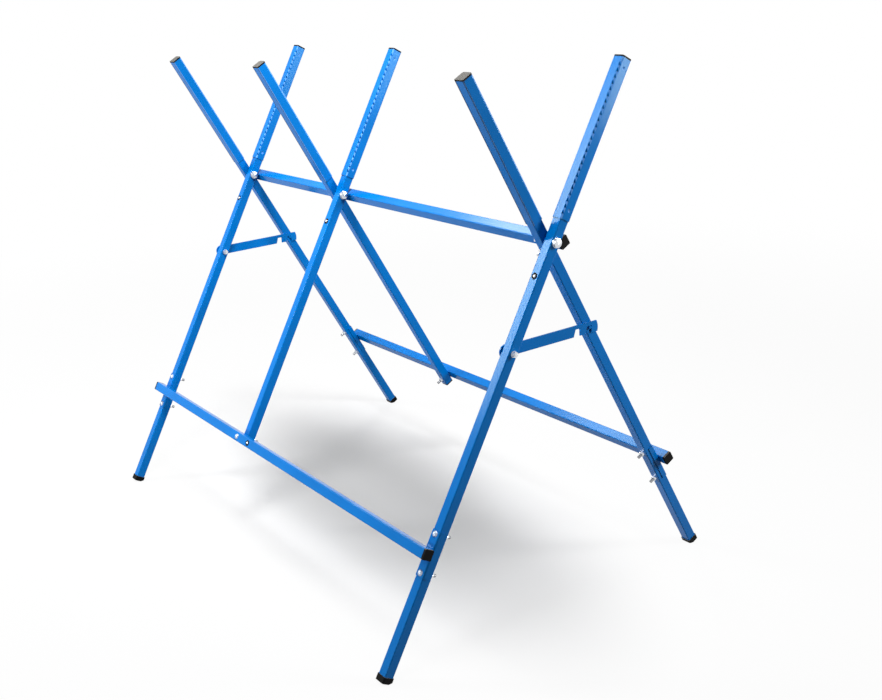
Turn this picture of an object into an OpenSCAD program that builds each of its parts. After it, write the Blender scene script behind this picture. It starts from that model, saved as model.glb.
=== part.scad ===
/* [Stand] */
// Distance between the middle planes of the left and right frames
frame_span = 1094; // [800:1:1400]
// Distance from the left frame to the middle frame
middle_from_left = 414; // [250:1:700]
// Lean of every bar from upright, in degrees
lean = 29.2; // [24:0.1:33]
// Height of the pivot bolts above the floor
pivot_z = 714; // [680:1:800]

/* [Tubes] */
// Outer width of every square tube
tube_w = 20; // [18:0.5:24]
// Wall of every square tube
tube_wall = 1.2; // [0.8:0.1:2]
// Outer corner radius of every square tube
tube_corner = 2; // [1.6:0.1:3]
// Pivot to the upper end of a bar
arm_len = 334; // [280:1:400]
// Pivot to the lower end of a bar
bar_low = 589; // [588:1:600]
// Gap between the two bars of a frame, where the stay lies
bar_gap = 3.2; // [3:0.1:5]

/* [Rails] */
// Pivot to the axis of the front rail, along the front bars
front_rail_s = 578; // [570:1:584]
// Pivot to the axis of the rear rail, along the rear bars
rear_rail_s = 574; // [566:1:584]
// Pivot to the axis of the top rail, along the rear bars
top_rail_s = 16.5; // [16:0.5:24]
// Rail tube past the bar at its long end
rail_long_end = 11.5; // [6:0.5:20]
// Rim of a rail end cap
rail_cap_rim = 4.5; // [2:0.5:6]
// Middle bolt to the screw beside it in the front rail
rail_screw_step = 50; // [24:1:60]

/* [Brackets] */
// Length of a rail bracket along its leg
bracket_len = 86; // [80:1:100]
// Sheet thickness of a rail bracket
bracket_t = 1.5; // [1:0.1:1.5]
// Depth of a bracket's flanges over the sides of its leg
bracket_flange = 11; // [6:0.5:14]
// End of a bracket to the bolt next to it
bracket_bolt_inset = 7; // [6:0.5:9]

/* [Toothed channels] */
// Sheet thickness of a toothed channel
channel_t = 1.4; // [1:0.1:1.4]
// Pivot to the lower end of a toothed channel
channel_low = 41; // [36:1:80]
// Distance from tooth to tooth
tooth_pitch = 11.2; // [10:0.1:20]
// Length of the gullet between two teeth
gullet_len = 7.6; // [5:0.1:9]
// Depth of a gullet at its lower end
gullet_depth = 3.4; // [2:0.1:5]
// Width of a gullet across the log face
gullet_w = 3; // [1.5:0.1:4]
// End of a channel to its clinch dent
dent_inset = 17.5; // [10:0.5:30]
// Diameter of a clinch dent
dent_d = 6; // [4:0.5:8]
// Depth of a clinch dent
dent_depth = 0.9; // [0.4:0.1:1]

/* [Stays] */
// Pivot to the stay bolt on the front leg, and to the latch pin on the rear leg
stay_s = 204; // [180:1:240]
// Width of a stay
stay_w = 21; // [20:0.5:26]
// Diameter of a stay's round end at its bolt
stay_eye_d = 26; // [24:0.5:30]
// Sheet thickness of a stay
stay_t = 2.5; // [2:0.1:2.5]
// Length of a stay past the latch pin's notch wall
stay_tail = 15.5; // [12:0.5:30]
// Width of a notch at its closed end
notch_w = 11; // [10.5:0.1:13]
// Flare of a notch on the side of the stay bolt, in degrees
notch_flare = 18; // [14:1:20]
// Distance from notch to notch
notch_pitch = 28; // [25:0.5:34]
// Diameter of a latch pin
latch_d = 6; // [5:0.1:7]

/* [Caps] */
// Rim of a bar end cap
cap_rim = 3; // [2:0.5:5]
// Depth of an arm cap's plug inside its bar
plug_len = 12; // [8:1:24]
// Wall of a foot cap round its leg
foot_wall = 1.5; // [1.2:0.1:3]
// Length of a foot cap's skirt over its leg
foot_skirt = 4; // [3:0.5:12]
// Thickness of a foot cap under the lowest corner of its leg
foot_base = 3; // [2:0.5:6]
// Thickness of a foot cap under the end of its leg
foot_toe = 7.5; // [6:0.5:12]

/* [Fasteners] */
// Diameter of a pivot bolt
pivot_d = 8; // [6:0.1:9]
// Diameter of every other bolt
bolt_d = 6; // [5:0.1:7]
// Diameter of a dome head
dome_d = 12; // [10:0.5:14]
// Height of a dome head
dome_h = 3.4; // [2:0.1:4]
// Diameter of a pivot bolt's round head
pivot_head_d = 16.5; // [14:0.5:20]
// Height of a pivot bolt's round head
pivot_head_h = 6; // [4:0.5:8]
// Rise of the head's domed face
pivot_head_rise = 2; // [1:0.1:3]
// Width across the flats of a pivot nut
pivot_nut_af = 13; // [12:0.5:15]
// Height of a pivot nut
pivot_nut_h = 6; // [4:0.5:8]
// Diameter of a pivot washer
pivot_washer_d = 18; // [16:0.5:20]
// Thickness of a washer
washer_t = 1.5; // [1:0.1:2.5]
// Width across the flats of every other nut
nut_af = 10; // [9:0.5:12]
// Height of every other nut
nut_h = 5; // [3:0.5:6]
// Bolt end past its nut
bolt_end = 2; // [1:0.5:6]
// Bolt end past its nut on the rail brackets
bracket_bolt_end = 9; // [2:0.5:14]
// Bolt end past its nut on the top rail
top_bolt_end = 8; // [2:0.5:14]
// Pivot to the screw on the front face of a front bar
bar_screw_s = 66; // [50:1:90]
// Diameter of a front screw
screw_d = 4; // [3:0.1:5]
// Length of a front screw inside its tube
screw_len = 9; // [5:0.5:14]
// Diameter of a front screw's head
screw_head_d = 5.5; // [5:0.5:9]
// Height of a front screw's head
screw_head_h = 1.8; // [1.2:0.1:3]
// Diameter of the ring under a front screw
screw_ring_d = 12; // [10:0.5:14]
// Thickness of the ring under a front screw
screw_ring_t = 0.8; // [0.5:0.1:1.5]

/* [Hidden] */

$fn = 48;

// Paint and finishes
blue = "royalblue";
zinc = "gainsboro";
black = "black";

// Sides of the stand
front = -1;
rear = 1;
left = 0;
middle = 1;
right = 2;
outer_frames = [left, right];
all_frames = [left, middle, right];

// Clearances and the overrun of cuts
cut = 1;
fit = 0.1;
run_fit = 0.05;
bolt_fit = 0.25;
latch_fit = 0.3;
splice_gap = 0.4;

// Places of the frames along the stand, with the bolts' ends equally far from its middle
bar_offset = (bar_gap + tube_w) / 2;
half_w = tube_w / 2;
pivot_nut_reach = bar_gap / 2 + tube_w + fit + pivot_nut_h + bolt_end;
right_reach = bar_gap / 2 + tube_w + washer_t + max(pivot_head_h, nut_h + bolt_end);
left_x = (pivot_nut_reach - right_reach - frame_span) / 2;
frame_x = [left_x, left_x + middle_from_left, left_x + frame_span];

// Rails: seat on the brackets, and the top rail on the bars. Bolts of a bracket
rail_y = tube_w + fit + bracket_t;
top_rail_y = tube_w;
bracket_bolt_pitch = bracket_len - 2 * bracket_bolt_inset;

// Legs: lower end of the foot tubes, from the floor and the lean
foot_end = (pivot_z - foot_base - half_w * sin(lean)) / cos(lean);

// Outer corner radii of the folded sheets and of the caps
bracket_corner = tube_corner + fit + bracket_t;
channel_corner = tube_corner + fit + channel_t;

// Outer faces of a channel, and the ball that its dents are a part of
channel_face = half_w + fit + channel_t;
dent_r = (pow(dent_d / 2, 2) + pow(dent_depth, 2)) / (2 * dent_depth);

// Half the angle of a hexagon's side
hex_half = 30;

// Head on the hidden end of a latch pin
latch_head_d = 10;
latch_head_h = 2;

// Stay: length between bolt and pin, and the round end at its tip
stay_reach = 2 * stay_s * sin(lean);
stay_wall_y = stay_reach + latch_d / 2 + latch_fit;
stay_tip_r = 30;
stay_tip_drop = 3;

function bar_x(side, i) = frame_x[i] - side * bar_offset;

// Place of the lower rail of one side, and of the bolts above and below it
function rail_s(side) = side == front ? front_rail_s : rear_rail_s;
function bracket_bolt_z(side, k) = -rail_s(side) + k * bracket_bolt_pitch / 2;

// Places children in the frame of one bar: origin at the pivot, +Z up along
// the bar, +Y out of the face that looks away from the stand's legs
module at_bar(side, i) {
  translate([bar_x(side, i), 0, pivot_z]) lean_over(side) children();
}

// Places children in the plane of all the bars of one side
module at_side(side) {
  translate([0, 0, pivot_z]) lean_over(side) children();
}

module lean_over(side) {
  if (side == front) mirror([0, 1, 0]) rotate([lean, 0, 0]) children();
  else rotate([lean, 0, 0]) children();
}

// Turns +Z to +Y, or to +X
module along_y() { rotate([-90, 0, 0]) children(); }
module along_x() { rotate([0, 90, 0]) children(); }

module rounded_square(w, r) {
  square([w - 2 * r, w], center = true);
  square([w, w - 2 * r], center = true);
  for (sx = [-1, 1], sy = [-1, 1]) translate([sx * (w / 2 - r), sy * (w / 2 - r)]) circle(r);
}

module tube_profile() {
  difference() {
    rounded_square(tube_w, tube_corner);
    rounded_square(tube_w - 2 * tube_wall, tube_corner - tube_wall);
  }
}

// A tube along +Z from one height to another
module tube(from, to) {
  translate([0, 0, from]) linear_extrude(to - from) tube_profile();
}

// Holes right through a tube on its axis, across X or across Y
module hole_x(d) { translate([-half_w - cut, 0, 0]) along_x() cylinder(d = d, h = tube_w + 2 * cut); }
module hole_y(d) { translate([0, -half_w - cut, 0]) along_y() cylinder(d = d, h = tube_w + 2 * cut); }

// Outline round three sides of a tube, cut off on the -Y side below the given depth
module fold_outline(t, corner, depth) {
  outer = tube_w + 2 * fit + 2 * t;
  difference() {
    rounded_square(outer, corner);
    translate([-outer / 2 - cut, -outer / 2 - cut])
      square([outer + 2 * cut, outer / 2 + half_w + cut - depth]);
  }
}

// Sheet folded round three sides of a tube
module fold_profile(t, corner, depth) {
  difference() {
    fold_outline(t, corner, depth);
    rounded_square(tube_w + 2 * fit, tube_corner + fit);
  }
}

// End cap for a tube, pointing along +Z: a rim of the given outline on its end and a plug inside
module end_cap(rim, plug) {
  plug_w = tube_w - 2 * tube_wall - 2 * fit;
  linear_extrude(rim) children();
  translate([0, 0, -plug]) linear_extrude(plug) rounded_square(plug_w, tube_corner - tube_wall);
}

// Dome head that stands on z = 0, and its shank below
module dome_bolt(head_d, head_h, shank_d, shank) {
  dome(head_d, head_h, head_h);
  translate([0, 0, -shank]) cylinder(d = shank_d, h = shank);
}

// Round head with a domed face, as high as its dome or higher
module dome(d, h, dome_rise) {
  ball_r = (pow(d / 2, 2) + pow(dome_rise, 2)) / (2 * dome_rise);
  intersection() {
    translate([0, 0, h - ball_r]) sphere(ball_r);
    cylinder(d = d, h = h);
  }
}

module small_bolt(shank) { dome_bolt(dome_d, dome_h, bolt_d, shank); }

// Hexagon nut that stands on z = 0
module hex_nut(af, h, bore) {
  difference() {
    cylinder(d = af / cos(hex_half), h = h, $fn = 6);
    translate([0, 0, -cut]) cylinder(d = bore, h = h + 2 * cut);
  }
}

module ring(outer_d, inner_d, h) {
  difference() {
    cylinder(d = outer_d, h = h);
    translate([0, 0, -cut]) cylinder(d = inner_d, h = h + 2 * cut);
  }
}

// Bars: six alike tubes, drilled for the bolts of their place
module bar(side, i) {
  outer = i != middle;
  color(blue) at_bar(side, i) difference() {
    tube(-bar_low, arm_len);
    hole_x(pivot_d + 2 * run_fit);
    if (outer) {
      translate([0, 0, -stay_s]) hole_x((side == front ? bolt_d : latch_d) + 2 * run_fit);
      translate([0, 0, bracket_bolt_z(side, 1)]) hole_y(bolt_d + 2 * bolt_fit);
    } else {
      translate([0, 0, -rail_s(side)]) hole_y(bolt_d + 2 * bolt_fit);
    }
    if (side == rear) translate([0, 0, -top_rail_s]) hole_y(bolt_d + 2 * bolt_fit);
    else translate([0, half_w, -bar_screw_s]) screw_hole();
  }
}

// Foot tubes: carry on below the bars of the two outer frames
module foot(side, i) {
  color(blue) at_bar(side, i) difference() {
    tube(-foot_end, -bar_low - splice_gap);
    translate([0, 0, bracket_bolt_z(side, -1)]) hole_y(bolt_d + 2 * bolt_fit);
  }
}

// Foot caps: skirts over the feet, square across the end, with the lower edge cut level
module foot_cap(side, i) {
  skirt_w = tube_w + 2 * fit + 2 * foot_wall;
  floor_w = 4 * tube_w;
  difference() {
    at_bar(side, i) translate([0, 0, -foot_end]) difference() {
      translate([0, 0, -foot_toe])
        linear_extrude(foot_toe + foot_skirt) rounded_square(skirt_w, tube_corner + foot_wall);
      linear_extrude(foot_skirt + cut) rounded_square(tube_w + 2 * fit, tube_corner + fit);
    }
    translate([bar_x(side, i) - floor_w / 2, side * pivot_z * tan(lean) - floor_w / 2, -floor_w])
      cube([floor_w, floor_w, floor_w]);
  }
}

module foot_caps(side) {
  color(black) for (i = outer_frames) foot_cap(side, i);
}

// Caps of the arms: flush with the channels
module top_caps(side) {
  color(black) for (i = all_frames) at_bar(side, i) translate([0, 0, arm_len])
    end_cap(cap_rim, plug_len) fold_outline(channel_t, channel_corner, tube_w);
}

// The caps below the middle bolts stop short of them
module middle_cap(side) {
  plug = bar_low - rail_s(side) - bolt_d;
  color(black) at_bar(side, middle) translate([0, 0, -bar_low]) mirror([0, 0, 1])
    end_cap(cap_rim, plug) rounded_square(tube_w, tube_corner);
}

// Rails: from the left bar to the right bar of their side, long at one end.
// The long end is the left one on the front bars and the right one on the rear bars
function rail_left(side) = bar_x(side, left) - half_w - (side == front ? rail_long_end : 0);
function rail_right(side) = bar_x(side, right) + half_w + (side == front ? 0 : rail_long_end);

module rail_tube(side, y, s) {
  at_side(side) translate([rail_left(side), y, -s]) along_x() tube(0, rail_right(side) - rail_left(side));
}

module rail_hole(side, x, y, s) {
  at_side(side) translate([x, y, -s]) hole_y(bolt_d + 2 * bolt_fit);
}

module low_rail(side) {
  color(blue) difference() {
    rail_tube(side, rail_y, rail_s(side));
    rail_hole(side, bar_x(side, middle), rail_y, rail_s(side));
    if (side == front) at_rail_screw() screw_hole();
  }
}

module top_rail() {
  color(blue) difference() {
    rail_tube(rear, top_rail_y, top_rail_s);
    for (i = all_frames) rail_hole(rear, bar_x(rear, i), top_rail_y, top_rail_s);
  }
}

// The caps of the rails stop short of the bolts in the outer bars
module rail_caps(side, y, s) {
  color(black) at_side(side) {
    translate([rail_right(side), y, -s]) rail_cap();
    translate([rail_left(side), y, -s]) mirror([1, 0, 0]) rail_cap();
  }
}

module rail_cap() {
  along_x() end_cap(rail_cap_rim, half_w - bolt_d) rounded_square(tube_w, tube_corner);
}

// Brackets: folded sheet that joins bar, foot and rail
module bracket(side, i) {
  color(blue) at_bar(side, i) difference() {
    translate([0, 0, -rail_s(side) - bracket_len / 2])
      linear_extrude(bracket_len) fold_profile(bracket_t, bracket_corner, bracket_flange);
    for (k = [-1, 1]) translate([0, 0, bracket_bolt_z(side, k)]) along_y()
      cylinder(d = bolt_d + 2 * bolt_fit, h = tube_w);
  }
}

bracket_grip = tube_w + fit + bracket_t;

module bracket_bolts(side) {
  color(zinc) for (i = outer_frames, k = [-1, 1]) at_bar(side, i)
    translate([0, half_w + fit + bracket_t, bracket_bolt_z(side, k)]) along_y()
      small_bolt(bracket_grip + nut_h + bracket_bolt_end);
}

module bracket_nuts(side) {
  color(zinc) for (i = outer_frames, k = [-1, 1]) at_bar(side, i)
    translate([0, -half_w, bracket_bolt_z(side, k)]) inner_nut();
}

// Nut against the inner face of a bar
module inner_nut() {
  mirror([0, 1, 0]) along_y() hex_nut(nut_af, nut_h, bolt_d + 2 * run_fit);
}

// Middle bars: one bolt through rail, washer and bar
module middle_bolt(side) {
  color(zinc) at_bar(side, middle) translate([0, rail_y + half_w, -rail_s(side)]) along_y()
    small_bolt(rail_y + tube_w + nut_h + bracket_bolt_end);
}

module middle_washer(side) {
  color(zinc) at_bar(side, middle) translate([0, half_w, -rail_s(side)]) along_y()
    ring(dome_d, bolt_d + 2 * run_fit, fit + bracket_t);
}

module middle_nut(side) {
  color(zinc) at_bar(side, middle) translate([0, -half_w, -rail_s(side)]) inner_nut();
}

module top_rail_bolts() {
  color(zinc) for (i = all_frames) at_bar(rear, i)
    translate([0, top_rail_y + half_w, -top_rail_s]) along_y()
      small_bolt(top_rail_y + tube_w + nut_h + top_bolt_end);
}

module top_rail_nuts() {
  color(zinc) for (i = all_frames) at_bar(rear, i) translate([0, -half_w, -top_rail_s]) inner_nut();
}

// Front screws: one on each front bar, and one in the front rail beside the middle bolt
module at_rail_screw() {
  at_bar(front, middle) translate([rail_screw_step, rail_y + half_w, -front_rail_s]) children();
}

module at_front_screws() {
  for (i = all_frames) at_bar(front, i) translate([0, half_w, -bar_screw_s]) children();
  at_rail_screw() children();
}

module screw_hole() {
  along_y() translate([0, 0, -half_w]) cylinder(d = screw_d + 2 * fit, h = half_w + cut);
}

module front_screws() {
  color(zinc) at_front_screws() along_y() translate([0, 0, screw_ring_t])
    dome_bolt(screw_head_d, screw_head_h, screw_d, screw_ring_t + screw_len);
}

module front_screw_rings() {
  color(black) at_front_screws() along_y() ring(screw_ring_d, screw_d + 2 * run_fit, screw_ring_t);
}

// Toothed channels: sheet folded over the log side of the arms and clinched near its
// ends, with teeth in the edge that looks away from the other bar of the frame
channel_len = arm_len - channel_low;
tooth_count = floor((channel_len - gullet_len) / tooth_pitch);
tooth_start = channel_low + (channel_len - (tooth_count - 1) * tooth_pitch) / 2;
gullet_x = channel_face + (cut - gullet_w) / 2;

module channel(side, i) {
  away = -side;
  color(blue) at_bar(side, i) difference() {
    translate([0, 0, channel_low])
      linear_extrude(channel_len) fold_profile(channel_t, channel_corner, tube_w);
    for (k = [0 : tooth_count - 1])
      translate([away * gullet_x, channel_face, tooth_start + k * tooth_pitch]) gullet();
    for (z = [channel_low + dent_inset, arm_len - dent_inset])
      translate([away * (channel_face + dent_r - dent_depth), 0, z]) sphere(dent_r);
  }
}

// One gullet between two teeth: it slopes in from the log face to its lower end
module gullet() {
  rotate([90, 0, 90]) linear_extrude(gullet_w + cut, center = true)
    polygon([
      [cut, gullet_len / 2],
      [0, gullet_len / 2],
      [-gullet_depth, -gullet_len / 2],
      [cut, -gullet_len / 2]
    ]);
}

// Faces of a frame's two bars along X, from the frame's middle plane: the rear
// bar's and the front bar's outer sides
rear_side_x = -bar_gap / 2 - tube_w;
front_side_x = bar_gap / 2 + tube_w;

// Places children on a pivot axis or on a stay bolt's axis, turned along +X
module at_pivot(i, x) { translate([frame_x[i] + x, 0, pivot_z]) along_x() children(); }
module at_stay(i, x) { translate([frame_x[i] + x, stay_y, stay_z]) along_x() children(); }

// Pivot: bolt along X through both bars, with its nut at the left and a spacer in the gap
pivot_shank = pivot_nut_reach + front_side_x + washer_t;

module pivot_bolts() {
  color(zinc) for (i = all_frames) at_pivot(i, front_side_x + washer_t) {
    dome(pivot_head_d, pivot_head_h, pivot_head_rise);
    translate([0, 0, -pivot_shank]) cylinder(d = pivot_d, h = pivot_shank);
  }
}

module pivot_spacers() {
  color(zinc) for (i = all_frames) at_pivot(i, -bar_gap / 2 + 2 * fit)
    ring(pivot_nut_af, pivot_d + 2 * run_fit, bar_gap - 2 * fit);
}

module pivot_washers() {
  color(zinc) for (i = all_frames) at_pivot(i, front_side_x)
    ring(pivot_washer_d, pivot_d + 2 * run_fit, washer_t);
}

module pivot_nuts() {
  color(zinc) for (i = all_frames) at_pivot(i, rear_side_x - fit - pivot_nut_h)
    hex_nut(pivot_nut_af, pivot_nut_h, pivot_d + 2 * run_fit);
}

// Stay bolts: along X through the front leg, with the stay under the head
stay_y = -stay_s * sin(lean);
stay_z = pivot_z - stay_s * cos(lean);
stay_head_x = -stay_t / 2 - fit;

module stay_bolts() {
  color(zinc) for (i = outer_frames) at_stay(i, stay_head_x) mirror([0, 0, 1])
    small_bolt(front_side_x - stay_head_x + washer_t + nut_h + bolt_end);
}

module stay_washers() {
  color(zinc) for (i = outer_frames) at_stay(i, front_side_x) ring(dome_d, bolt_d + 2 * run_fit, washer_t);
}

module stay_nuts() {
  color(zinc) for (i = outer_frames) at_stay(i, front_side_x + washer_t)
    hex_nut(nut_af, nut_h, bolt_d + 2 * run_fit);
}

// Latch pins: rivets through the rear legs that the stays hook over
module latch_pins() {
  color(zinc) for (i = outer_frames) mirror([0, 1, 0]) at_stay(i, rear_side_x) {
    translate([0, 0, -latch_head_h]) cylinder(d = latch_head_d, h = latch_head_h);
    cylinder(d = latch_d, h = tube_w + bar_gap - fit);
  }
}

// Stays: flat strips with two notches that open downwards. Profile in the
// plane of the frame, from the stay bolt along +X towards the latch pin
notch_top = latch_d / 2 + latch_fit;
notch_mouth = -stay_w / 2 - cut;

module notch_profile() {
  spread = (notch_top - notch_mouth) * tan(notch_flare);
  translate([stay_wall_y, 0]) polygon([
    [0, notch_top],
    [-notch_w, notch_top],
    [-notch_w - spread, notch_mouth],
    [0, notch_mouth]
  ]);
}

module stay_profile() {
  tip_x = stay_wall_y + stay_tail;
  difference() {
    union() {
      circle(d = stay_eye_d);
      intersection() {
        translate([0, -stay_w / 2]) square([tip_x, stay_w]);
        union() {
          translate([0, -stay_w / 2]) square([tip_x - stay_tip_r, stay_w]);
          translate([tip_x - stay_tip_r, -stay_tip_drop]) circle(r = stay_tip_r);
        }
      }
    }
    circle(d = bolt_d + 2 * run_fit);
    for (k = [0, 1]) translate([-k * notch_pitch, 0]) notch_profile();
  }
}

module stay(i) {
  color(blue) translate([frame_x[i] - stay_t / 2, stay_y, stay_z])
    rotate([90, 0, 90]) linear_extrude(stay_t) stay_profile();
}

bar(front, left);  // front_bar_left
bar(front, middle);  // front_bar_middle
bar(front, right);  // front_bar_right
foot(front, left);  // front_foot_left
foot(front, right);  // front_foot_right
low_rail(front);  // front_rail
bracket(front, left);  // front_bracket_left
bracket(front, right);  // front_bracket_right
channel(front, left);  // front_channel_left
channel(front, middle);  // front_channel_middle
channel(front, right);  // front_channel_right
foot_caps(front);  // front_foot_caps
top_caps(front);  // front_top_caps
rail_caps(front, rail_y, front_rail_s);  // front_rail_caps
middle_cap(front);  // front_middle_cap
bracket_bolts(front);  // front_bracket_bolts
bracket_nuts(front);  // front_bracket_nuts
middle_bolt(front);  // front_middle_bolt
middle_washer(front);  // front_middle_washer
middle_nut(front);  // front_middle_nut
front_screws();
front_screw_rings();
pivot_bolts();
pivot_spacers();
pivot_washers();
pivot_nuts();
stay_bolts();
stay_washers();
stay_nuts();
bar(rear, left);  // rear_bar_left
bar(rear, middle);  // rear_bar_middle
bar(rear, right);  // rear_bar_right
foot(rear, left);  // rear_foot_left
foot(rear, right);  // rear_foot_right
low_rail(rear);  // rear_rail
top_rail();
bracket(rear, left);  // rear_bracket_left
bracket(rear, right);  // rear_bracket_right
channel(rear, left);  // rear_channel_left
channel(rear, middle);  // rear_channel_middle
channel(rear, right);  // rear_channel_right
foot_caps(rear);  // rear_foot_caps
top_caps(rear);  // rear_top_caps
rail_caps(rear, rail_y, rear_rail_s);  // rear_rail_caps
rail_caps(rear, top_rail_y, top_rail_s);  // top_rail_caps
middle_cap(rear);  // rear_middle_cap
bracket_bolts(rear);  // rear_bracket_bolts
bracket_nuts(rear);  // rear_bracket_nuts
middle_bolt(rear);  // rear_middle_bolt
middle_washer(rear);  // rear_middle_washer
middle_nut(rear);  // rear_middle_nut
top_rail_bolts();
top_rail_nuts();
latch_pins();
stay(left);  // stay_left
stay(right);  // stay_right
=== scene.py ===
import math

import bmesh
import bpy
from bpy.props import FloatProperty, FloatVectorProperty, PointerProperty
from mathutils import Euler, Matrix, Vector

bl_info = {
    "name": "Log saw stand",
    "version": (1, 0, 0),
    "blender": (4, 5, 0),
    "location": "View3D > Sidebar > Saw Stand",
    "description": "Finishes and studio for a folding log saw stand of painted square tube",
    "category": "Object",
}

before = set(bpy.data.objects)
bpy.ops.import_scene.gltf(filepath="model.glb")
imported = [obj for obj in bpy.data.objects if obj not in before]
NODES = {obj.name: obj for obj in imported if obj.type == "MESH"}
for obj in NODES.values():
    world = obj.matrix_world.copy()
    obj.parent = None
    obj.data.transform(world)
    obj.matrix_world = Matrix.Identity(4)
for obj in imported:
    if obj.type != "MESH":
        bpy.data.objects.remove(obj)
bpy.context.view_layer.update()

# The stand's pieces, grouped by finish
TUBES = [
    name for name in NODES
    if name.split("_")[1] in ("bar", "foot", "rail")
    and not name.endswith(("caps", "bolts", "nuts"))
]
BRACKETS = [name for name in NODES if "_bracket_left" in name or "_bracket_right" in name]
CHANNELS = [name for name in NODES if "_channel_" in name]
STAYS = ["stay_left", "stay_right"]
PINS = ["latch_pins", "pivot_spacers"]
CAPS = [name for name in NODES if name.endswith(("_caps", "_cap"))]
RINGS = ["front_screw_rings"]
SMALL_BOLTS = [
    name for name in NODES if "_bracket_bolts" in name or name.endswith("_middle_bolt")
]
OTHER_FINISHES = TUBES + BRACKETS + CHANNELS + STAYS + PINS + CAPS + RINGS + SMALL_BOLTS
FASTENERS = [name for name in NODES if name not in OTHER_FINISHES]

# Places of the sockets that are used on their nodes
COORDINATE_NORMAL, COORDINATE_OBJECT = 1, 3
CAMERA_RAY, GLOSSY_RAY, TRANSMISSION_RAY = 0, 3, 6
MIX_FACTOR, MIX_FIRST, MIX_SECOND, MIX_RESULT = 0, 6, 7, 2
LENGTH_RESULT = 1

WHITE = (1.0, 1.0, 1.0, 1.0)
NOISE_MIDDLE = 0.5

# Blue paint: tone that drifts along a tube, the fine ripple of sprayed paint, painted shade in
# seams and on undersides, and a painted highlight on the channels' folds
CLOUDS = {"Scale": 9.0, "Detail": 3.0}
CLOUD_SPAN = (0.3, 0.7)
CLOUD_SHARES = (0.94, 1.06)
CLOUD_ROUGHNESS = 0.08
PEEL = {"Scale": 420.0, "Detail": 2.0}
PAINT_SPECULAR = 0.14
PAINTED_SHADE_SHARE = 0.3  # of the paint's colour, as painted shade in seams and on undersides
UNDERSIDE_SHADE_SPAN = (-0.3, -0.45)  # of the normal's z, for the painted shade on undersides
SIDE_SPAN = (0.1, 0.4)  # of the normal's x, on the tubes, for the painted shade in the seams
SEAM_BLUR = 0.001  # m, over which the painted shade in the seams fades in
FOLD_START, FOLD_END = (0.15, 0.4), (0.995, 0.95)  # of the normal's x, on the channels, for the painted highlight on the folds

# Zinc plate: spangle, and painted shade on the ends of the bolts behind the legs
SPANGLE = {"Scale": 260.0, "Detail": 3.0}
SPANGLE_SHARE = 0.9
SPANGLE_ROUGHNESS = 0.12
BRIGHT_ROUGHNESS = 0.24
DULL_ROUGHNESS = 0.36
BOLT_END_SHADE_SPAN = (-0.0155, -0.0165)  # m from the leg's centre line, where the painted shade on the bolt ends begins
BOLT_END_SHADE_SHARE = 0.35

# Black plastic: moulded grain, and a painted sheen on the tops
GRAIN = {"Scale": 900.0, "Detail": 2.0}
GRAIN_STRENGTH = 0.4
GRAIN_DEPTH = 0.00004  # m
GRAIN_ROUGHNESS = 0.12
PLASTIC_ROUGHNESS = 0.42
PLASTIC_SPECULAR = 0.06
UPWARD_SPAN = (0.6, 0.85)  # of the normal's z, for the painted sheen on the tops

# Floor: a wide disc, with a soft oval of painted shadow under the stand
FLOOR_RADIUS = 60.0  # m
FLOOR_SEGMENTS = 64
SHADE_CENTRE = (-0.098, 0.029, 0.0)  # m
SHADE_TURN = (0.0, 0.0, -0.093)  # rad
SHADE_SIZE = (0.6, 0.248, 1.0)  # m
SHADE_SPAN = (1.65, 0.3)  # of the oval's size
FAR_SPAN = (1.2, 3.4)  # m from the stand's middle

# Lamps: place and aim in metres, width and height in metres, spread in degrees
LAMPS = {
    "key": ((-2.3, -2.15, 2.5), (0.2, 0.0, 0.6), (0.48, 2.1), 180.0),
    "back": ((-1.6, 0.4, 2.7), (0.0, 0.0, 0.6), (0.6, 0.6), 180.0),
    "side": ((1.7, 1.5, 1.25), (0.45, 0.1, 0.8), (0.45, 1.25), 100.0),
    "fill": ((-0.6, -3.0, 0.3), (-0.1, 0.0, 0.95), (1.04, 0.3), 70.0),
    "top": ((0.5, -0.3, 2.3), (-0.4, 0.0, 0.5), (0.6, 0.6), 80.0),
}

SENSOR_WIDTH = 36.0  # mm
CAMERA_TURN = (71.799, 3.698, 57.385)  # degrees


class Value:
    """A shader socket that takes part in Python arithmetic through Math nodes."""

    def __init__(self, tree, socket):
        self.tree = tree
        self.socket = socket

    def math(self, operation, *values):
        inputs = dict(enumerate(values))
        return self.tree.node("ShaderNodeMath", {"operation": operation}, inputs)[0]

    def __add__(self, other):
        return self.math("ADD", self, other)

    def __sub__(self, other):
        return self.math("SUBTRACT", self, other)

    def __rsub__(self, other):
        return self.math("SUBTRACT", other, self)

    def __mul__(self, other):
        return self.math("MULTIPLY", self, other)

    def __abs__(self):
        return self.math("ABSOLUTE", self)

    __radd__ = __add__
    __rmul__ = __mul__

    def ramp(self, low, high):
        """Smooth step from 0 at low to 1 at high."""
        settings = {"interpolation_type": "SMOOTHSTEP"}
        inputs = {"Value": self, "From Min": low, "From Max": high}
        return self.tree.node("ShaderNodeMapRange", settings, inputs)[0]


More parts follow.
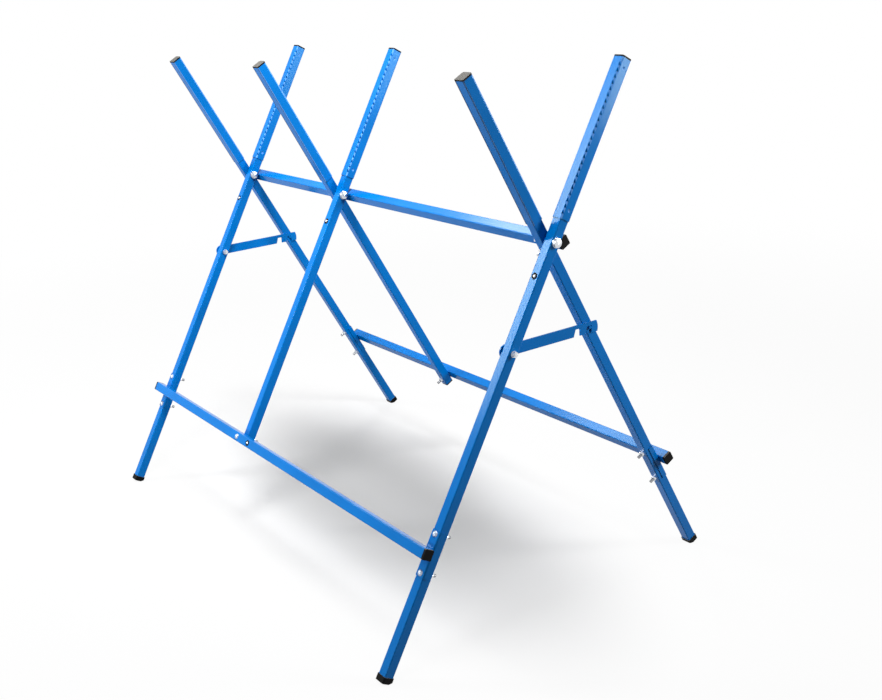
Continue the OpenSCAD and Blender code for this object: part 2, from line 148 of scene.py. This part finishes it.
class Tree:
    """The node tree of a material or of the world."""

    def __init__(self, owner):
        owner.use_nodes = True
        self.tree = owner.node_tree
        self.tree.nodes.clear()

    def node(self, kind, settings=None, inputs=None):
        """Adds a node, sets it up, feeds its sockets, and returns its outputs as Values."""
        added = self.tree.nodes.new(kind)
        for name, setting in (settings or {}).items():
            setattr(added, name, setting)
        for name, value in (inputs or {}).items():
            if isinstance(value, Value):
                self.tree.links.new(value.socket, added.inputs[name])
            else:
                added.inputs[name].default_value = value
        return [Value(self, socket) for socket in added.outputs]

    def split(self, vector):
        """The x, y and z of a vector socket."""
        return self.node("ShaderNodeSeparateXYZ", None, {"Vector": vector})

    def length(self, vector):
        """The length of a vector socket."""
        settings = {"operation": "LENGTH"}
        return self.node("ShaderNodeVectorMath", settings, {0: vector})[LENGTH_RESULT]

    def noise(self, place, pattern):
        """Noise between 0 and 1 over a place, with the scale and detail of a pattern."""
        return self.node("ShaderNodeTexNoise", None, {"Vector": place, **pattern})[0]

    def bump(self, height, strength, depth):
        """A normal that follows height."""
        inputs = {"Strength": strength, "Distance": depth, "Height": height}
        return self.node("ShaderNodeBump", None, inputs)[0]

    def mix_colour(self, factor, first, second):
        """Colour between first and second, by factor."""
        inputs = {MIX_FACTOR: factor, MIX_FIRST: first, MIX_SECOND: second}
        return self.node("ShaderNodeMix", {"data_type": "RGBA"}, inputs)[MIX_RESULT]

    def mix_shader(self, factor, first, second):
        """Shader between first and second, by factor."""
        return self.node("ShaderNodeMixShader", None, {0: factor, 1: first, 2: second})[0]

    def principled(self, inputs):
        """The surface of a solid material."""
        return self.node("ShaderNodeBsdfPrincipled", None, inputs)[0]

    def seen(self):
        """1 for what the camera sees, straight or in metal and glass, and 0 for light."""
        ray = self.node("ShaderNodeLightPath")
        return ray[CAMERA_RAY] + ray[GLOSSY_RAY] + ray[TRANSMISSION_RAY]


def rgba(colour, share=1.0):
    """A colour property as four numbers, scaled by a share."""
    return (*[channel * share for channel in colour], 1.0)


def material_of(name, build):
    """Makes a material from build(tree, place, normal), which returns its shader."""
    material = bpy.data.materials.new(name)
    tree = Tree(material)
    coordinates = tree.node("ShaderNodeTexCoord")
    shader = build(tree, coordinates[COORDINATE_OBJECT], coordinates[COORDINATE_NORMAL])
    tree.node("ShaderNodeOutputMaterial", None, {"Surface": shader})
    return material


def finish(name, nodes, build):
    """Makes a material and gives it to the CAD nodes."""
    material = material_of(name, build)
    for node in nodes:
        NODES[node].data.materials.clear()
        NODES[node].data.materials.append(material)


class SawStandFinish(bpy.types.PropertyGroup):
    """Colours and finishes of the stand"""
    paint: FloatVectorProperty(
        name="Paint", description="Blue of the painted steel",
        subtype="COLOR", size=3, min=0, max=1, default=(0.0, 0.16, 0.54))
    # Painted highlight: paler blue on the channels' folds, which stands in for the light they catch
    fold_highlight_paint: FloatVectorProperty(
        name="Worn paint", description="Paler blue where use has rubbed the channels' folds",
        subtype="COLOR", size=3, min=0, max=1, default=(0.12, 0.33, 0.78))
    paint_roughness: FloatProperty(
        name="Paint roughness", description="Roughness of the paint, low for gloss",
        subtype="FACTOR", min=0, max=1, default=0.17)
    gloss: FloatVectorProperty(
        name="Gloss", description="Tint of the paint's mirror light",
        subtype="COLOR", size=3, min=0, max=1, default=(0.48, 0.9, 1.0))
    # Painted shade in the seams beside the toothed channels starts at this height
    seam_start: FloatProperty(
        name="Seam start",
        description="Height above which the seams beside the toothed channels are dark",
        unit="LENGTH", min=0, default=0.7545)
    peel_depth: FloatProperty(
        name="Peel depth", description="Depth of the paint's fine ripple",
        unit="LENGTH", min=0, default=0.000005)
    zinc: FloatVectorProperty(
        name="Zinc", description="Colour of the plated bolts and nuts",
        subtype="COLOR", size=3, min=0, max=1, default=(0.7, 0.72, 0.75))
    dull_zinc: FloatVectorProperty(
        name="Dull zinc", description="Colour of the plating on the small bolts of the lower rails",
        subtype="COLOR", size=3, min=0, max=1, default=(0.36, 0.4, 0.48))
    plastic: FloatVectorProperty(
        name="Plastic", description="Colour of the caps",
        subtype="COLOR", size=3, min=0, max=1, default=(0.002, 0.002, 0.002))
    # Painted sheen: paler grey on the caps' tops, which stands in for the light they reflect
    top_sheen: FloatVectorProperty(
        name="Dust", description="Colour of the dusty tops of the caps",
        subtype="COLOR", size=3, min=0, max=1, default=(0.11, 0.105, 0.095))
    lean: FloatProperty(
        name="Lean", description="Lean of the legs from upright",
        unit="ROTATION", default=math.radians(29.2))
    pivot_height: FloatProperty(
        name="Pivot height", description="Height of the pivots above the floor",
        unit="LENGTH", default=0.714)


class SawStandStage(bpy.types.PropertyGroup):
    """Floor, light and camera round the stand"""
    floor: FloatVectorProperty(
        name="Floor", description="Colour of the floor as the camera sees it",
        subtype="COLOR", size=3, min=0, max=1, default=(0.8, 0.8, 0.8))
    # Painted shadow: the colour of the soft oval on the floor under the stand
    shade: FloatVectorProperty(
        name="Shade", description="Colour of the floor under the middle of the stand",
        subtype="COLOR", size=3, min=0, max=1, default=(0.415, 0.415, 0.415))
    ground: FloatVectorProperty(
        name="Ground", description="Colour that the floor throws back on the stand",
        subtype="COLOR", size=3, min=0, max=1, default=(0.25, 0.25, 0.25))
    white_share: FloatProperty(
        name="White share", description="Share of plain white in the floor near the stand",
        subtype="FACTOR", min=0, max=1, default=0.94)
    ambient: FloatProperty(
        name="Ambient", description="Strength of the light from all round", min=0, default=0.1)
    key: FloatProperty(
        name="Key", description="Power of the lamp at the left",
        unit="POWER", min=0, default=86.0)
    back: FloatProperty(
        name="Back", description="Power of the lamp high at the left",
        unit="POWER", min=0, default=16.0)
    side: FloatProperty(
        name="Side", description="Power of the lamp behind the right end",
        unit="POWER", min=0, default=13.0)
    fill: FloatProperty(
        name="Fill", description="Power of the low lamp in front",
        unit="POWER", min=0, default=9.0)
    top: FloatProperty(
        name="Top", description="Power of the lamp overhead",
        unit="POWER", min=0, default=10.0)
    lens: FloatProperty(
        name="Lens", description="Focal length of the camera in millimetres",
        unit="CAMERA", min=1, default=46.912)
    shift: FloatProperty(
        name="Shift", description="Sideways shift of the camera's frame", default=0.108)
    camera_place: FloatVectorProperty(
        name="Camera place", description="Where the camera stands",
        subtype="TRANSLATION", unit="LENGTH", size=3, default=(2.0126, -1.3171, 1.1766))
    camera_turn: FloatVectorProperty(
        name="Camera turn", description="How the camera is turned",
        subtype="EULER", unit="ROTATION", size=3,
        default=[math.radians(angle) for angle in CAMERA_TURN])


class SAWSTAND_OT_paint(bpy.types.Operator):
    """Gives the tubes, the folded sheets, the stays and the pins their blue paint"""
    bl_idname = "sawstand.paint"
    bl_label = "Paint the steel"

    def execute(self, context):
        looks = context.scene.saw_stand_finish

        def coat(tree, place, painted_shade, painted_highlight=None):
            """Blue paint, paler as a painted highlight where the fourth argument is 1, and darker
            as painted shade where the third is 1.
            """
            clouds = tree.noise(place, CLOUDS)
            darker, paler = [rgba(looks.paint, share) for share in CLOUD_SHARES]
            colour = tree.mix_colour(clouds.ramp(*CLOUD_SPAN), darker, paler)
            if painted_highlight is not None:
                colour = tree.mix_colour(painted_highlight, colour, rgba(looks.fold_highlight_paint))
            return tree.principled({
                "Base Color": tree.mix_colour(painted_shade, colour, rgba(looks.paint, PAINTED_SHADE_SHARE)),
                "Roughness": looks.paint_roughness + (clouds - NOISE_MIDDLE) * CLOUD_ROUGHNESS,
                "Specular IOR Level": PAINT_SPECULAR,
                "Specular Tint": rgba(looks.gloss),
                "Normal": tree.bump(tree.noise(place, PEEL), 1.0, looks.peel_depth),
            })

        def build_tube(tree, place, normal):
            side = abs(tree.split(normal)[0]).ramp(*SIDE_SPAN)
            height = tree.split(place)[2]
            # Painted shade: the tubes' sides that face along the stand are darkened above the seam
            # start, in the seams beside the toothed channels
            seam_shade = side * height.ramp(looks.seam_start, looks.seam_start + SEAM_BLUR)
            return coat(tree, place, seam_shade)

        def build_sheet(tree, place, normal):
            # Painted shade: faces that look downward are darkened
            underside_shade = tree.split(normal)[2].ramp(*UNDERSIDE_SHADE_SPAN)
            return coat(tree, place, underside_shade)

        def build_channel(tree, place, normal):
            across, _, upward = tree.split(normal)
            # Painted highlight on the channels' folds, and painted shade on their undersides
            fold_highlight = abs(across).ramp(*FOLD_START) * abs(across).ramp(*FOLD_END)
            return coat(tree, place, upward.ramp(*UNDERSIDE_SHADE_SPAN), fold_highlight)

        finish("tube_paint", TUBES, build_tube)
        finish("sheet_paint", BRACKETS + STAYS + PINS, build_sheet)
        finish("channel_paint", CHANNELS, build_channel)
        return {"FINISHED"}


class SAWSTAND_OT_plate(bpy.types.Operator):
    """Gives the bolts, nuts, washers and screws their zinc plating"""
    bl_idname = "sawstand.plate"
    bl_label = "Plate the fasteners"

    def execute(self, context):
        looks = context.scene.saw_stand_finish

        def plating(zinc, roughness):
            """The build of a plating with this colour and least roughness."""
            def build(tree, place, normal):
                spangle = tree.noise(place, SPANGLE)
                colour = tree.mix_colour(spangle, rgba(zinc, SPANGLE_SHARE), rgba(zinc))
                _, y, z = tree.split(place)
                height = z - looks.pivot_height
                depth = abs(y) * math.cos(looks.lean) + height * math.sin(looks.lean)
                # Painted shade: fastener parts behind the legs' inner faces are darker
                shaded_end = depth.ramp(*BOLT_END_SHADE_SPAN)
                return tree.principled({
                    "Base Color": tree.mix_colour(shaded_end, colour, rgba(looks.zinc, BOLT_END_SHADE_SHARE)),
                    "Metallic": 1.0,
                    "Roughness": roughness + spangle * SPANGLE_ROUGHNESS,
                })
            return build

        finish("zinc_plate", FASTENERS, plating(looks.zinc, BRIGHT_ROUGHNESS))
        finish("dull_plate", SMALL_BOLTS, plating(looks.dull_zinc, DULL_ROUGHNESS))
        return {"FINISHED"}


class SAWSTAND_OT_cap(bpy.types.Operator):
    """Gives the end caps, the feet and the screw rings their black plastic"""
    bl_idname = "sawstand.cap"
    bl_label = "Fit the caps"

    def execute(self, context):
        looks = context.scene.saw_stand_finish

        def build(tree, place, normal):
            grain = tree.noise(place, GRAIN)
            upward = tree.split(normal)[2].ramp(*UPWARD_SPAN)
            return tree.principled({
                # Painted sheen: the caps' upward faces are a paler grey
                "Base Color": tree.mix_colour(upward, rgba(looks.plastic), rgba(looks.top_sheen)),
                "Roughness": PLASTIC_ROUGHNESS + grain * GRAIN_ROUGHNESS,
                "Specular IOR Level": PLASTIC_SPECULAR,
                "Normal": tree.bump(grain, GRAIN_STRENGTH, GRAIN_DEPTH),
            })

        finish("black_plastic", CAPS + RINGS, build)
        return {"FINISHED"}


class SAWSTAND_OT_stage(bpy.types.Operator):
    """Makes the floor, the white surroundings, the lamps and the camera"""
    bl_idname = "sawstand.stage"
    bl_label = "Set the stage"

    def execute(self, context):
        scene = context.scene
        stage = scene.saw_stand_stage
        scene.view_settings.view_transform = "Standard"
        self.make_floor(scene, stage)
        self.make_surroundings(scene, stage)
        for name, (place, aim, size, spread) in LAMPS.items():
            self.make_lamp(scene, name + "_lamp", place, aim, size, spread, getattr(stage, name))
        self.make_camera(scene, stage)
        return {"FINISHED"}

    def make_floor(self, scene, stage):
        def build(tree, place, normal):
            oval = tree.node("ShaderNodeMapping", {"vector_type": "TEXTURE"}, {
                "Vector": place, "Location": SHADE_CENTRE,
                "Rotation": SHADE_TURN, "Scale": SHADE_SIZE})[0]
            # Painted shadow: near is 1 in the oval under the stand, where the floor turns to the
            # shade colour and loses its white
            near = tree.length(oval).ramp(*SHADE_SPAN)
            far = tree.length(place).ramp(*FAR_SPAN)
            seen = tree.seen()
            pale = tree.mix_colour(near, rgba(stage.floor), rgba(stage.shade))
            matte = tree.principled({
                "Base Color": tree.mix_colour(seen, rgba(stage.ground), pale),
                "Roughness": 1.0,
                "Specular IOR Level": 0.0,
            })
            glow = tree.node("ShaderNodeEmission", None, {"Color": WHITE, "Strength": 1.0})[0]
            share = stage.white_share + far * (1.0 - stage.white_share)
            return tree.mix_shader(seen * (1.0 - near) * (1.0 - near) * share, matte, glow)

        mesh = bpy.data.meshes.new("floor")
        shape = bmesh.new()
        bmesh.ops.create_circle(
            shape, cap_ends=True, segments=FLOOR_SEGMENTS, radius=FLOOR_RADIUS)
        shape.to_mesh(mesh)
        shape.free()
        mesh.materials.append(material_of("pale_floor", build))
        floor = bpy.data.objects.new("floor", mesh)
        scene.collection.objects.link(floor)

    def make_surroundings(self, scene, stage):
        scene.world = bpy.data.worlds.new("white_room")
        tree = Tree(scene.world)
        dim, white = [
            tree.node("ShaderNodeBackground", None, {"Color": WHITE, "Strength": strength})[0]
            for strength in (stage.ambient, 1.0)
        ]
        light = tree.mix_shader(tree.seen(), dim, white)
        tree.node("ShaderNodeOutputWorld", None, {"Surface": light})

    def make_lamp(self, scene, name, place, aim, size, spread, power):
        data = bpy.data.lights.new(name, "AREA")
        data.shape = "RECTANGLE"
        data.size, data.size_y = size
        data.energy = power
        data.spread = math.radians(spread)
        lamp = bpy.data.objects.new(name, data)
        lamp.location = place
        toward = Vector(aim) - Vector(place)
        lamp.rotation_euler = toward.to_track_quat("-Z", "Y").to_euler()
        scene.collection.objects.link(lamp)

    def make_camera(self, scene, stage):
        data = bpy.data.cameras.new("camera")
        data.lens = stage.lens
        data.sensor_width = SENSOR_WIDTH
        data.shift_x = stage.shift
        camera = bpy.data.objects.new("camera", data)
        camera.location = stage.camera_place
        camera.rotation_euler = Euler(stage.camera_turn)
        scene.collection.objects.link(camera)
        scene.camera = camera


class SAWSTAND_PT_panel(bpy.types.Panel):
    """Lists the values and the steps that finish the stand"""
    bl_idname = "SAWSTAND_PT_panel"
    bl_label = "Saw Stand"
    bl_space_type = "VIEW_3D"
    bl_region_type = "UI"
    bl_category = "Saw Stand"

    def draw(self, context):
        for group in (context.scene.saw_stand_finish, context.scene.saw_stand_stage):
            for name in group.__annotations__:
                self.layout.prop(group, name)
        for step in STEPS:
            self.layout.operator(step.bl_idname)


GROUPS = (SawStandFinish, SawStandStage)
STEPS = (SAWSTAND_OT_paint, SAWSTAND_OT_plate, SAWSTAND_OT_cap, SAWSTAND_OT_stage)
CLASSES = (*GROUPS, *STEPS, SAWSTAND_PT_panel)


def register():
    for cls in CLASSES:
        bpy.utils.register_class(cls)
    bpy.types.Scene.saw_stand_finish = PointerProperty(type=SawStandFinish)
    bpy.types.Scene.saw_stand_stage = PointerProperty(type=SawStandStage)


def unregister():
    del bpy.types.Scene.saw_stand_stage
    del bpy.types.Scene.saw_stand_finish
    for cls in reversed(CLASSES):
        bpy.utils.unregister_class(cls)


def main():
    register()
    bpy.ops.sawstand.paint()
    bpy.ops.sawstand.plate()
    bpy.ops.sawstand.cap()
    bpy.ops.sawstand.stage()


if __name__ == "__main__":
    main()
